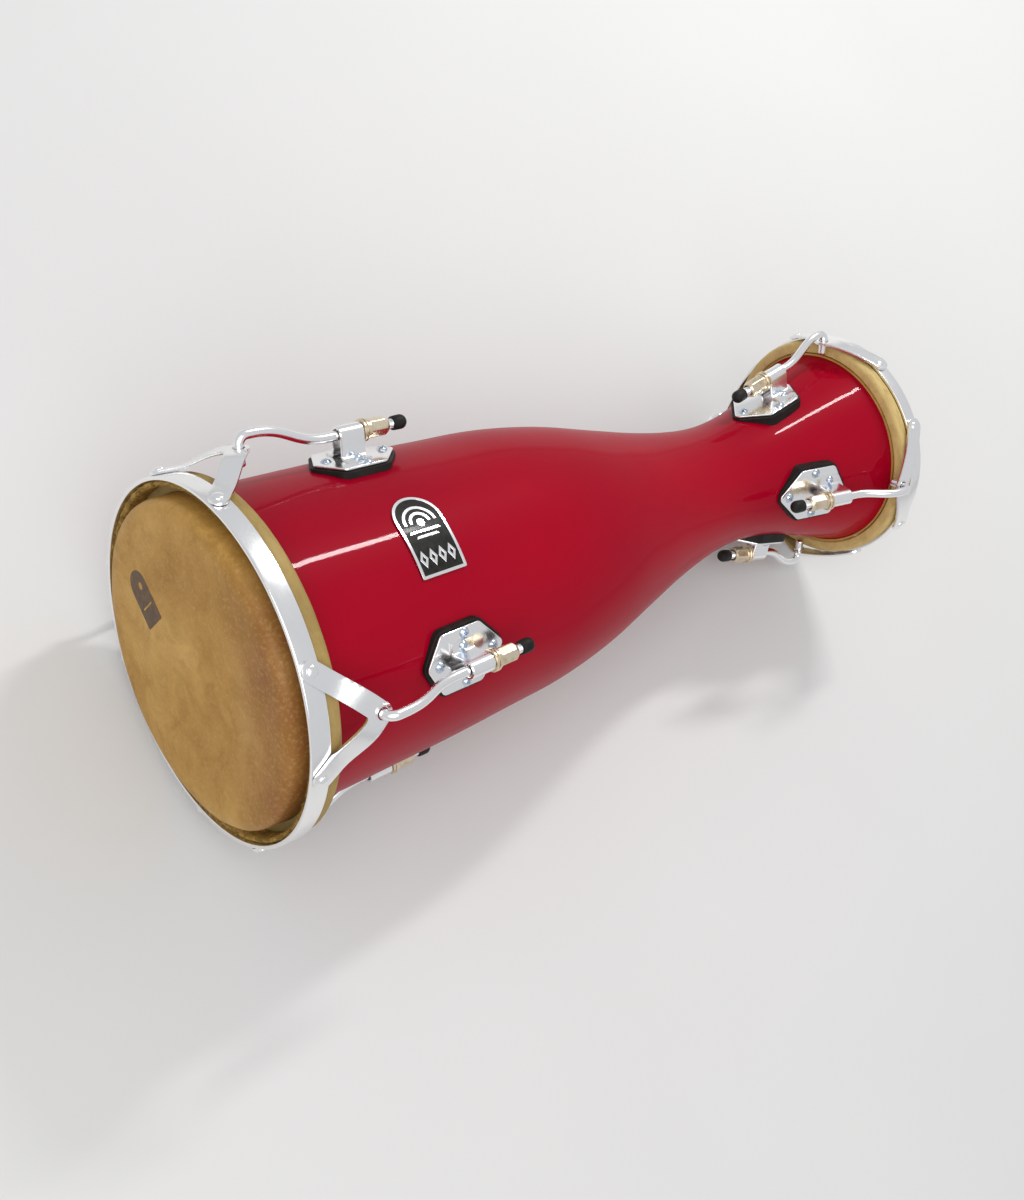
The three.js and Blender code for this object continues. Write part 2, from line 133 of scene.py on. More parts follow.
# ---- details that only this model draws, and heads drawn a little larger, as in the photo ----------
SHOULDER_BELOW_RIM = 2
SHOULDER_WIDTH_SHARE = 0.15
BEARING_FACE = 4
FRINGE_THICKNESS = 4.2
HAIRS_PER_MM_OF_RADIUS = 26
CLAW_CROTCH_RADIUS = 3
RIVET_DOME_RADIUS = 4.8
ROD_CURL = 7
THREAD_DEPTH = 0.62
PLATE_SCREW_RADIUS = SCREW_RADIUS + 0.5
RECESS_REACH = 2.3
RECESS_HALF_WIDTH = 0.52

# ---- frames --------------------------------------------------------------------------------------
mounts = {m["name"]: m for m in frame["record"]["mounts"]}
axis = -Vector(mounts["large_head"]["axis"]).normalized()
large_face = Vector(mounts["large_head"]["pos_m"]) / MM + axis * LARGE["proud"]
across = Vector((0, 1, 0))
DRUM = Matrix.Translation(large_face) @ Matrix((axis, across, axis.cross(across))).transposed().to_4x4()


def end_frame(end):
    if end is LARGE:
        return DRUM
    return DRUM @ Matrix.Translation((DRUM_LENGTH, 0, 0)) @ Matrix.Rotation(math.pi, 4, "Z")


def lug_frame(end, k):
    return end_frame(end) @ Matrix.Rotation(end["lug_angle"] + TURN / LUGS * (k - 1), 4, "X")


def seat_frame(end, k):
    seat = Matrix.Translation((end["plate_s"], 0, end["surface"])) @ Matrix.Rotation(end["tilt"], 4, "Y")
    return lug_frame(end, k) @ seat


def saddle_frame(end, k):
    """Seat frame moved along the plate to the saddle's place, with the rod's axis as its height zero."""
    return seat_frame(end, k) @ Matrix.Translation((end["saddle_shift"], 0, ROD_HEIGHT))


# ---- shell profile -------------------------------------------------------------------------------
def catmull(points, steps):
    """Points of a smooth curve through the given ones."""
    padded = [points[0], *points, points[-1]]
    out = []
    for i in range(1, len(padded) - 2):
        a, b, c, d = (Vector(p) for p in padded[i - 1:i + 3])
        for n in range(steps):
            t = n / steps
            out.append(tuple(0.5 * (2 * b + (c - a) * t + (2 * a - 5 * b + 4 * c - d) * t * t
                                    + (3 * b - a - 3 * c + d) * t ** 3)))
    return out + [tuple(points[-1])]


SHELL_CURVE = catmull(SHELL_PROFILE, 6)


def shell_radius(x):
    for (x0, r0), (x1, r1) in zip(SHELL_CURVE, SHELL_CURVE[1:]):
        if x <= x1:
            return r0 + (r1 - r0) * (x - x0) / (x1 - x0)
    return SHELL_CURVE[-1][1]


LARGE["surface"] = shell_radius(LARGE["plate_s"])
SMALL["surface"] = shell_radius(DRUM_LENGTH - SMALL["plate_s"]) + SMALL["seat_lift"]

# ---- mesh tools ----------------------------------------------------------------------------------
def make(name, verts, faces, place, material, sharp=40):
    """Mesh object from millimetre vertices in the given frame."""
    data = bpy.data.meshes.new(name)
    data.from_pydata([(place @ Vector(v)) * MM for v in verts], [], faces)
    bm = bmesh.new()
    bm.from_mesh(data)
    bmesh.ops.remove_doubles(bm, verts=bm.verts, dist=1e-7)
    bmesh.ops.dissolve_degenerate(bm, edges=bm.edges, dist=1e-8)
    bmesh.ops.recalc_face_normals(bm, faces=bm.faces)
    bm.to_mesh(data)
    bm.free()
    return wrap(name, data, material, sharp)


def wrap(name, data, material, sharp):
    """Object on a finished mesh, smooth apart from edges sharper than the given degrees."""
    data.polygons.foreach_set("use_smooth", [True] * len(data.polygons))
    data.set_sharp_from_angle(angle=math.radians(sharp))
    data.materials.clear()
    data.materials.append(material)
    obj = bpy.data.objects.new(name, data)
    bpy.context.scene.collection.objects.link(obj)
    return obj


def grid_faces(rows, columns, closed_rows=False, closed_columns=True):
    """Quads over a rows x columns block of vertices."""
    faces = []
    for i in range(rows if closed_rows else rows - 1):
        for j in range(columns if closed_columns else columns - 1):
            i2, j2 = (i + 1) % rows, (j + 1) % columns
            faces.append((i * columns + j, i * columns + j2, i2 * columns + j2, i2 * columns + j))
    return faces


def revolved(profile, segments, wobble=None):
    """Vertices and faces of a closed [x, r] profile turned about X. Points on the axis make a cap."""
    verts = []
    for x, r in profile:
        for j in range(segments):
            turn = TURN * j / segments
            dx, dr = wobble(x, r, turn) if wobble else (0, 0)
            verts.append((x + dx, (r + dr) * math.sin(turn), (r + dr) * math.cos(turn)))
    return verts, grid_faces(len(profile), segments, closed_rows=profile[0][1] > 0)


def rounded(points, radius, steps=4):
    """Closed outline with its corners rounded. radius is one number or one for each corner."""
    out = []
    count = len(points)
    for i, point in enumerate(points):
        corner = Vector(point)
        before = Vector(points[i - 1]) - corner
        after = Vector(points[(i + 1) % count]) - corner
        r = radius[i] if isinstance(radius, (list, tuple)) else radius
        half = before.angle(after) / 2
        back = min(r / math.tan(half), before.length * 0.49, after.length * 0.49) if r else 0
        if back < 1e-6:
            out.append(tuple(corner))
            continue
        real = back * math.tan(half)
        centre = corner + (before.normalized() + after.normalized()).normalized() * (real / math.sin(half))
        start = corner + before.normalized() * back - centre
        stop = corner + after.normalized() * back - centre
        for n in range(steps + 1):
            blend = start.slerp(stop, n / steps)
            out.append(tuple(centre + blend.normalized() * real))
    return out


def swept(path, radius, sides):
    """Round bar along a list of points in the plane y = 0, capped. radius(i, turn) is in millimetres."""
    across_bar = Vector((0, 1, 0))
    verts = []
    count = len(path)
    for i, point in enumerate(path):
        along = (path[min(i + 1, count - 1)] - path[max(i - 1, 0)]).normalized()
        lift = along.cross(across_bar).normalized()
        for j in range(sides):
            turn = TURN * j / sides
            r = radius(i, turn)
            verts.append(point + across_bar * (r * math.cos(turn)) + lift * (r * math.sin(turn)))
    faces = grid_faces(count, sides)
    faces.append(tuple(range(sides - 1, -1, -1)))
    faces.append(tuple((count - 1) * sides + j for j in range(sides)))
    return verts, faces


def slab(outline, holes, bottom, top, bevel, step, bend=None, bevel_steps=2):
    """Plate from a flat outline with holes, cut into strips so that it can bend, with rounded edges.

    Returns vertices and faces. bend(x, y, z) gives the bent place of each vertex.
    """
    curve = bpy.data.curves.new("outline", "CURVE")
    curve.dimensions = "2D"
    curve.fill_mode = "BOTH"
    for loop in (outline, *holes):
        spline = curve.splines.new("POLY")
        spline.points.add(len(loop) - 1)
        for knot, (x, y) in zip(spline.points, loop):
            knot.co = (x, y, 0, 1)
        spline.use_cyclic_u = True
    holder = bpy.data.objects.new("outline", curve)
    bm = bmesh.new()
    data = bpy.data.meshes.new_from_object(holder)
    bm.from_mesh(data)
    bpy.data.objects.remove(holder)
    bpy.data.curves.remove(curve)
    bpy.data.meshes.remove(data)
    bmesh.ops.remove_doubles(bm, verts=bm.verts, dist=1e-4)
    bmesh.ops.dissolve_limit(bm, angle_limit=0.01, verts=bm.verts, edges=bm.edges)
    for axis_index in (0, 1):
        low = min(p[axis_index] for p in outline)
        high = max(p[axis_index] for p in outline)
        normal = Vector((1 - axis_index, axis_index, 0))
        count = max(int((high - low) / step), 1)
        for n in range(1, count):
            place = normal * (low + (high - low) * n / count)
            everything = bm.verts[:] + bm.edges[:] + bm.faces[:]
            bmesh.ops.bisect_plane(bm, geom=everything, plane_co=place, plane_no=normal, dist=1e-5)
    for v in bm.verts:
        v.co.z = bottom
    lower = bm.faces[:]
    result = bmesh.ops.extrude_face_region(bm, geom=lower, use_keep_orig=True)
    for item in result["geom"]:
        if isinstance(item, bmesh.types.BMVert):
            item.co.z = top
    bmesh.ops.recalc_face_normals(bm, faces=bm.faces)
    if bevel:
        corner_angle = math.radians(50)
        edges = [e for e in bm.edges if len(e.link_faces) == 2 and e.calc_face_angle(0) > corner_angle
                 and abs(e.verts[0].co.z - e.verts[1].co.z) < 1e-6]
        bmesh.ops.bevel(bm, geom=edges, offset=bevel, segments=bevel_steps, profile=0.5,
                        affect="EDGES", clamp_overlap=True)
    bmesh.ops.recalc_face_normals(bm, faces=bm.faces)
    bm.verts.index_update()
    verts = [bend(*v.co) if bend else tuple(v.co) for v in bm.verts]
    faces = [tuple(v.index for v in f.verts) for f in bm.faces]
    bm.free()
    return verts, faces


def merge(*pieces):
    """One list of vertices and faces from several."""
    verts, faces = [], []
    for part_verts, part_faces in pieces:
        offset = len(verts)
        verts += [Vector(v) for v in part_verts]
        faces += [tuple(i + offset for i in f) for f in part_faces]
    return verts, faces


def moved(piece, matrix):
    verts, faces = piece
    return [matrix @ Vector(v) for v in verts], faces


def circle(x, y, radius, steps=24):
    return [(x + radius * math.cos(TURN * n / steps), y + radius * math.sin(TURN * n / steps))
            for n in range(steps)]


def attach(obj, body, slot_name, *nodes):
    """Make the object move with a body, and stand for CAD nodes where it draws the same thing."""
    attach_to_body(obj, body)
    if nodes:
        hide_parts(*nodes)


# ---- material tools ------------------------------------------------------------------------------
class Nodes:
    """Small helper for building a node tree on a new material."""

    def __init__(self, name):
        self.material = bpy.data.materials.new(name)
        self.material.use_nodes = True
        self.tree = self.material.node_tree
        self.shader = self.tree.nodes["Principled BSDF"]
        self.coords = self.tree.nodes.new("ShaderNodeTexCoord").outputs["Object"]

    def set(self, **values):
        for key, value in values.items():
            self.shader.inputs[key.replace("_", " ")].default_value = value

    def link(self, output, socket):
        self.tree.links.new(output, self.shader.inputs[socket])

    def stretch(self, scale, rotation=(0, 0, 0)):
        node = self.tree.nodes.new("ShaderNodeMapping")
        node.inputs["Scale"].default_value = scale
        node.inputs["Rotation"].default_value = rotation
        self.tree.links.new(self.coords, node.inputs["Vector"])
        return node.outputs["Vector"]

    def noise(self, scale, detail=4, roughness=0.55, distortion=0.0, vector=None):
        node = self.tree.nodes.new("ShaderNodeTexNoise")
        node.inputs["Scale"].default_value = scale
        node.inputs["Detail"].default_value = detail
        node.inputs["Roughness"].default_value = roughness
        node.inputs["Distortion"].default_value = distortion
        self.tree.links.new(vector or self.coords, node.inputs["Vector"])
        return node.outputs["Fac"]

    def cells(self, scale, vector=None, feature="F1"):
        node = self.tree.nodes.new("ShaderNodeTexVoronoi")
        node.feature = feature
        node.inputs["Scale"].default_value = scale
        self.tree.links.new(vector or self.coords, node.inputs["Vector"])
        return node.outputs["Distance"]

    def ramp(self, value, stops):
        node = self.tree.nodes.new("ShaderNodeValToRGB")
        ramp = node.color_ramp
        while len(ramp.elements) < len(stops):
            ramp.elements.new(0.5)
        for element, (place, color) in zip(ramp.elements, stops):
            element.position = place
            element.color = (*color, 1) if isinstance(color, tuple) else (color, color, color, 1)
        self.tree.links.new(value, node.inputs["Fac"])
        return node.outputs["Color"]

    def spread(self, value, low, high, from_low=0.0, from_high=1.0):
        node = self.tree.nodes.new("ShaderNodeMapRange")
        node.inputs["From Min"].default_value = from_low
        node.inputs["From Max"].default_value = from_high
        node.inputs["To Min"].default_value = low
        node.inputs["To Max"].default_value = high
        self.tree.links.new(value, node.inputs["Value"])
        return node.outputs["Result"]

    def mix(self, factor, first, second, kind="MIX"):
        node = self.tree.nodes.new("ShaderNodeMix")
        node.data_type = "RGBA"
        node.blend_type = kind
        for socket, value in ((node.inputs[0], factor), (node.inputs[6], first), (node.inputs[7], second)):
            if isinstance(value, bpy.types.NodeSocket):
                self.tree.links.new(value, socket)
            else:
                socket.default_value = (*value, 1) if isinstance(value, tuple) else value
        return node.outputs[2]

    def math(self, operation, first, second):
        node = self.tree.nodes.new("ShaderNodeMath")
        node.operation = operation
        for socket, value in zip(node.inputs, (first, second)):
            if isinstance(value, bpy.types.NodeSocket):
                self.tree.links.new(value, socket)
            else:
                socket.default_value = value
        return node.outputs[0]

    def height(self, low, high, direction):
        """0 to 1 between two distances in metres from the origin along a direction of the object."""
        node = self.tree.nodes.new("ShaderNodeVectorMath")
        node.operation = "DOT_PRODUCT"
        node.inputs[1].default_value = direction
        self.tree.links.new(self.coords, node.inputs[0])
        return self.spread(node.outputs["Value"], 0.0, 1.0, low, high)

    def bump(self, height, strength, distance_mm):
        node = self.tree.nodes.new("ShaderNodeBump")
        node.inputs["Strength"].default_value = strength
        node.inputs["Distance"].default_value = distance_mm * MM
        self.tree.links.new(height, node.inputs["Height"])
        self.link(node.outputs["Normal"], "Normal")


def lacquer_material():
    n = Nodes("red_lacquer")
    n.set(Roughness=0.4, IOR=1.45, Specular_IOR_Level=0.03)
    n.set(Coat_Weight=0.2, Coat_Roughness=0.04, Coat_IOR=1.45)
    grain = n.noise(7, 5, 0.6, 0.4, n.stretch((0.6, 3.5, 3.5)))
    depth = n.noise(3.2, 3, 0.5)
    deep = n.ramp(depth, ((0.3, (0.30, 0.0, 0.013)), (0.7, (0.41, 0.0, 0.013))))
    n.link(n.mix(n.spread(grain, 0.0, 0.35), deep, (0.23, 0.0, 0.012)), "Base Color")
    n.bump(n.noise(180, 2, 0.5), 0.06, 0.05)
    return n.material


def rawhide_material():
    """Mottled tan hide, with painted shade in reddish brown on the side of each head that faces up and
    towards -Y.
    """
    n = Nodes("rawhide")
    n.set(Roughness=0.5, IOR=1.5, Specular_IOR_Level=0.2)
    clouds = n.noise(9, 6, 0.62, 0.6)
    blotches = n.noise(28, 6, 0.65, 0.8)
    fibres = n.noise(60, 6, 0.7, 1.2, n.stretch((1.0, 0.35, 1.6)))
    pores = n.cells(420)
    tans = ((0.3, (0.36, 0.18, 0.032)), (0.5, (0.48, 0.265, 0.06)), (0.7, (0.61, 0.375, 0.115)))
    # Painted shade: a reddish-brown tint where each head's rounded shoulder turns from the light, growing up
    # and towards -Y.
    painted_shade_side = n.height(0.15, 0.212, (0, -0.7, 0.72))
    painted_shade = n.math("MULTIPLY", painted_shade_side, n.spread(n.noise(14, 5), 0.5, 1.0, 0.3, 0.6))
    shade_tinted_tans = n.mix(n.math("MULTIPLY", painted_shade, 0.85), n.ramp(clouds, tans), (0.21, 0.065, 0.02))
    mottled = n.mix(n.spread(blotches, 0.0, 0.7, 0.45, 0.75), shade_tinted_tans, (0.27, 0.13, 0.02))
    streaked = n.mix(n.spread(fibres, 0.0, 0.16, 0.5, 0.8), mottled, (0.55, 0.37, 0.12))
    speckled = n.mix(n.spread(n.noise(300, 4, 0.7), 0.0, 0.5, 0.5, 0.75), streaked, (0.56, 0.36, 0.13))
    n.link(n.mix(n.spread(pores, 0.35, 0.0, 0.0, 0.35), speckled, (0.25, 0.12, 0.03)), "Base Color")
    n.link(n.spread(blotches, 0.38, 0.62), "Roughness")
    n.bump(n.math("ADD", n.math("MULTIPLY", fibres, 0.7), n.math("MULTIPLY", pores, 0.5)), 0.35, 0.35)
    return n.material


def wrap_material():
    """Dry hide round the flesh hoops, with painted light that makes the small hoop paler."""
    n = Nodes("hoop_wrap")
    n.set(Roughness=0.62, IOR=1.48, Specular_IOR_Level=0.35)
    clouds = n.noise(16, 5, 0.6, 0.5)
    fibres = n.noise(140, 5, 0.65, 0.6, n.stretch((2.2, 0.5, 0.5)))
    tans = ((0.3, (0.27, 0.175, 0.05)), (0.55, (0.39, 0.27, 0.085)), (0.8, (0.50, 0.36, 0.14)))
    # Painted light: the wrap turns pale cream towards the small end, along +X, to lift its shaded side.
    small_end_painted_light = n.math("MULTIPLY", n.height(0.1, 0.3, (1, 0, 0)), 0.8)
    toned = n.mix(small_end_painted_light, n.ramp(clouds, tans), (0.66, 0.48, 0.19))
    n.link(n.mix(n.spread(fibres, 0.0, 0.6, 0.45, 0.8), toned, (0.26, 0.16, 0.05)), "Base Color")
    n.bump(fibres, 0.5, 0.5)
    return n.material


def hair_material():
    n = Nodes("trimmed_hair")
    n.set(Roughness=0.6, Specular_IOR_Level=0.3)
    browns = ((0.3, (0.20, 0.11, 0.02)), (0.55, (0.38, 0.23, 0.05)), (0.75, (0.58, 0.39, 0.12)))
    n.link(n.ramp(n.noise(220, 3, 0.6), browns), "Base Color")
    return n.material


def chrome_material():
    n = Nodes("chrome")
    n.set(Metallic=1.0)
    bright = (0.92, 0.92, 0.92)
    dull = tuple(c * 0.82 for c in bright)
    haze = n.noise(35, 5, 0.6, 0.3)
    scratches = n.noise(900, 2, 0.5, 0.0, n.stretch((1.0, 0.12, 1.0), (0.3, 0.2, 0.7)))
    tarnish = n.spread(n.noise(14, 4), 0.0, 0.35, 0.5, 0.9)
    n.link(n.mix(tarnish, bright, dull), "Base Color")
    n.link(n.math("ADD", n.spread(haze, 0.14, 0.26), n.spread(scratches, 0.0, 0.06, 0.5, 0.8)), "Roughness")
    n.bump(n.noise(60, 3), 0.03, 0.1)
    return n.material


def zinc_material():
    n = Nodes("yellow_zinc")
    n.set(Metallic=1.0)
    stain = n.noise(90, 5, 0.6, 1.0)
    yellows = ((0.3, (0.62, 0.50, 0.34)), (0.5, (0.78, 0.68, 0.50)), (0.72, (0.80, 0.64, 0.52)))
    n.link(n.ramp(stain, yellows), "Base Color")
    n.link(n.spread(n.noise(260, 4), 0.2, 0.36), "Roughness")
    n.bump(n.noise(700, 2), 0.08, 0.05)
    return n.material


def blue_zinc_material():
    n = Nodes("blue_zinc")
    n.set(Metallic=1.0)
    stain = n.noise(160, 4, 0.6, 0.6)
    n.link(n.ramp(stain, ((0.3, (0.42, 0.50, 0.62)), (0.7, (0.70, 0.76, 0.84)))), "Base Color")
    n.link(n.spread(n.noise(500, 3), 0.14, 0.28), "Roughness")
    return n.material


def rubber_material():
    n = Nodes("black_rubber")
    n.set(Specular_IOR_Level=0.2, IOR=1.5)
    dust = n.noise(70, 5, 0.65)
    n.link(n.ramp(dust, ((0.35, (0.008, 0.008, 0.007)), (0.75, (0.022, 0.021, 0.018)))), "Base Color")
    n.link(n.spread(n.noise(300, 4), 0.42, 0.62), "Roughness")
    n.bump(n.noise(1500, 2), 0.15, 0.06)
    return n.material


def enamel_material():
    n = Nodes("black_enamel")
    n.set(Coat_Weight=0.1, Coat_Roughness=0.08, Specular_IOR_Level=0.12)
    blacks = ((0.3, (0.010, 0.010, 0.009)), (0.7, (0.026, 0.025, 0.020)))
    n.link(n.ramp(n.noise(240, 4), blacks), "Base Color")
    n.link(n.spread(n.noise(600, 3), 0.28, 0.42), "Roughness")
    n.bump(n.noise(900, 2), 0.1, 0.05)
    return n.material


def ink_material():
    n = Nodes("stamp_ink")
    n.set(Specular_IOR_Level=0.3)
    worn = n.noise(260, 5, 0.7)
    n.link(n.ramp(worn, ((0.3, (0.075, 0.052, 0.04)), (0.7, (0.17, 0.105, 0.055)))), "Base Color")
    n.link(n.spread(worn, 0.55, 0.75), "Roughness")
    return n.material


LACQUER = lacquer_material()
RAWHIDE = rawhide_material()
WRAP = wrap_material()
HAIR = hair_material()
CHROME = chrome_material()
ZINC = zinc_material()
BLUE_ZINC = blue_zinc_material()
RUBBER = rubber_material()
ENAMEL = enamel_material()
INK = ink_material()


# ---- shell ---------------------------------------------------------------------------------------
def shoulder(end, offset):
    """Full, rounded edge of a head from its flat face to its straight collar, as (s, r) points."""
    depth = end["proud"] + SHOULDER_BELOW_RIM
    width = end["collar"] * SHOULDER_WIDTH_SHARE
    fullness = 2 / 3
    steps = 16
    points = []
    for n in range(steps + 1):
        turn = math.pi / 2 * n / steps
        down = depth * (1 - math.cos(turn) ** fullness)
        inward = width * (1 - math.sin(turn) ** fullness)
        points.append((offset - end["proud"] + down, end["collar"] - offset - inward))
    return points


def build_shell():
    """Outside wall, both bearing edges and the bore, as one closed surface."""
    under_skin = SKIN_THICKNESS + GAP
    large_edge = shoulder(LARGE, under_skin)[3:]
    small_edge = [(DRUM_LENGTH - s, r) for s, r in reversed(shoulder(SMALL, under_skin)[3:])]
    large_collar_end = (LARGE["rim_width"] + LARGE["hoop_width"], LARGE["collar"] - under_skin)
    small_collar_end = (DRUM_LENGTH - SMALL["rim_width"] - SMALL["hoop_width"], SMALL["collar"] - under_skin)
    outside = [*large_edge, large_collar_end, *SHELL_CURVE[2:-2], small_collar_end, *small_edge]
    bore = [(x, r - SHELL_WALL) for x, r in reversed(SHELL_CURVE[3:-3:3])]
    small_lip = (small_edge[-1][0], small_edge[-1][1] - BEARING_FACE)
    large_lip = (large_edge[0][0], large_edge[0][1] - BEARING_FACE)
    verts, faces = revolved([*outside, small_lip, *bore, large_lip], 160)
    shell = make("shell_lacquered", verts, faces, DRUM, LACQUER, 35)
    attach(shell, "drum_shell", "shell_lacquer", "shell")


# ---- heads ---------------------------------------------------------------------------------------
def build_skin(end):
    """Rawhide over the bearing edge and down its collar."""
    face = -end["proud"]
    outer = shoulder(end, 0)
    inner = shoulder(end, SKIN_THICKNESS)
    collar_end = end["rim_width"] + end["hoop_width"] + GAP
    flat = [(face, outer[0][1] * n / 24) for n in range(24)]
    back = [(face + SKIN_THICKNESS, r) for r in (0, inner[0][1] * 0.5)]
    profile = [*flat, *outer, (collar_end * 0.5, outer[-1][1]), (collar_end, outer[-1][1]),
               (collar_end, inner[-1][1]), *reversed(inner), *reversed(back)]

    def ripple(x, r, turn):
        place = Vector((x * 0.02, r * 0.018 * math.cos(turn), r * 0.018 * math.sin(turn)))
        fade = min(r / 20, 1) if x < 1 else 0
        return 0.25 * fade * noise.noise(place * 2.2), 0.2 * noise.noise(place * 3) * (x > face + 3)

    verts, faces = revolved(profile, 180, ripple)
    name = f"{end['name']}_head_hide"
    skin = make(name, verts, faces, end_frame(end), RAWHIDE, 60)
    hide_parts(f"{end['name']}_skin")
    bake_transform(skin)


def build_hoop(end):
    """Flesh hoop wrapped in the edge of the hide: rounded, a little lumpy on its outer side."""
    start = end["rim_width"] + GAP
    stop = start + end["hoop_width"]
    inner = end["collar"] + GAP
    outer = end["hoop"]
    corners = [(start, inner), (start, outer), (stop, outer), (stop, inner)]
    profile = rounded(corners, [0.6, 1.5, 4.5, 2.5], 6)

    def lumps(x, r, turn):
        spot = Vector((x * 0.12, 9 * math.cos(turn), 9 * math.sin(turn)))
        swell = noise.noise(spot) * 0.35 + noise.noise(spot * 6) * 0.12
        return 0, swell * min(max((r - inner) / 6, 0), 1) - 0.35 * (r > inner + 1)

    verts, faces = revolved(profile, 300, lumps)
    hoop = make(f"{end['name']}_hoop_wrap", verts, faces, end_frame(end), WRAP, 60)
    attach(hoop, f"{end['name']}_head_hardware", "hoop_wrap", f"{end['name']}_flesh_hoop")


def build_fringe(end):
    """Ragged trimmed edge of the hide standing up against the inside of the rim, with its hair."""
    outer = end["rim"] - end["rim_wall"] - 1.2
    inner = outer - FRINGE_THICKNESS
    base = end["rim_width"] - 1
    wall = [(base, inner), (base, outer + 0.6), (4.2, outer + 0.6), (2.6, outer - 0.6), (3.6, inner + 1.6),
            (5.4, inner + 0.4), (9, inner)]

    def ragged(x, r, turn):
        spot = Vector((12 * math.cos(turn), 12 * math.sin(turn), x * 0.2))
        fade = min(max((base - x) / base, 0), 1)
        along = 1.6 * noise.noise(spot) + 1.2 * noise.noise(spot * 4)
        return fade * along, fade * 0.8 * noise.noise(spot * 2.3)

    verts, faces = revolved(wall, 360, ragged)
    edge = make(f"{end['name']}_hide_edge", verts, faces, end_frame(end), HAIR, 60)
    attach(edge, f"{end['name']}_head_hardware", "rawhide")
    verts, faces = [], []
    for _ in range(int(end["rim"] * HAIRS_PER_MM_OF_RADIUS)):
        turn = random.uniform(0, TURN)
        root_r = random.uniform(inner + 0.4, outer - 0.4)
        root_s = random.uniform(3.5, 9)
        length = random.uniform(2.5, 6.5)
        lean = random.uniform(-0.75, 0.75)
        tip_turn = turn + lean * length / root_r
        tip_r = min(max(root_r + random.uniform(-2.4, 2.4), inner), outer)
        tip_s = max(root_s - length * random.uniform(0.55, 1), 0.6 + 0.65 * (outer - tip_r))
        width = random.uniform(0.16, 0.34)
        start = len(verts)
        for side in range(3):
            spin = TURN * side / 3
            a = turn + width * math.cos(spin) / root_r
            r = root_r + width * math.sin(spin)
            verts.append((root_s, r * math.sin(a), r * math.cos(a)))
        mid_turn = turn * 0.45 + tip_turn * 0.55
        mid_r = (root_r + tip_r) / 2 + random.uniform(-0.5, 0.5)
        for side in range(3):
            spin = TURN * side / 3
            a = mid_turn + width * 0.7 * math.cos(spin) / mid_r
            r = mid_r + width * 0.7 * math.sin(spin)
            verts.append(((root_s + tip_s) / 2 - 0.4, r * math.sin(a), r * math.cos(a)))
        verts.append((tip_s, tip_r * math.sin(tip_turn), tip_r * math.cos(tip_turn)))
        for side in range(3):
            other = (side + 1) % 3
            faces.append((start + side, start + other, start + 3 + other, start + 3 + side))
            faces.append((start + 3 + side, start + 3 + other, start + 6))
        faces.append((start + 2, start + 1, start))
    hair = make(f"{end['name']}_hide_hair", verts, faces, end_frame(end), HAIR, 60)
    attach(hair, f"{end['name']}_head_hardware", "rawhide")


# ---- rims and claws ------------------------------------------------------------------------------
def build_rim(end):
    """Flat steel band with rolled edges."""
    outer = end["rim"] * RIM_FACET
    inner = end["rim"] - end["rim_wall"]
    corners = [(0, inner), (0, outer), (end["rim_width"], outer), (end["rim_width"], inner)]
    verts, faces = revolved(rounded(corners, [1.2, 1.5, 0.8, 0.5], 5), 240)
    rim = make(f"{end['name']}_rim_band", verts, faces, end_frame(end), CHROME, 50)
    attach(rim, f"{end['name']}_head_hardware", "chrome_plate", f"{end['name']}_rim")


def smooth_step(value, low, high):
    """0 below low, 1 above high, with an even S between."""
    t = min(max((value - low) / (high - low), 0), 1)
    return t * t * (3 - 2 * t)


def claw_outline(end):
    """V outline in the unrolled surface: x is s, y is the arc across the lug."""
    half = CLAW_WIDTH / 2
    reach = end["claw_angle"] * end["rim"]
    run = end["apex_s"] - end["rivet_s"]
    length = math.hypot(reach, run)
    out = Vector((reach / length, run / length))
    rivet = Vector((end["rivet_s"], reach))
    apex = Vector((end["apex_s"], 0))
    steps = 10
    leg = []
    start = math.atan2(out.y, out.x)
    for n in range(steps + 1):
        turn = start + math.pi * n / steps
        leg.append(rivet + half * Vector((math.cos(turn), math.sin(turn))))
    inner_edge = (reach - half * out.y) * length / reach
    crotch = rivet - half * out + inner_edge * Vector((run, -reach)) / length
    points = [*leg, Vector((crotch.x, 0)), *[Vector((p.x, -p.y)) for p in reversed(leg)]]
    points += [apex + half * Vector((math.cos(a), math.sin(a)))
               for a in (start * (2 * n / steps - 1) for n in range(steps + 1))]
    radii = [0] * len(points)
    radii[len(leg)] = CLAW_CROTCH_RADIUS
    return rounded([tuple(p) for p in points], radii, 5)


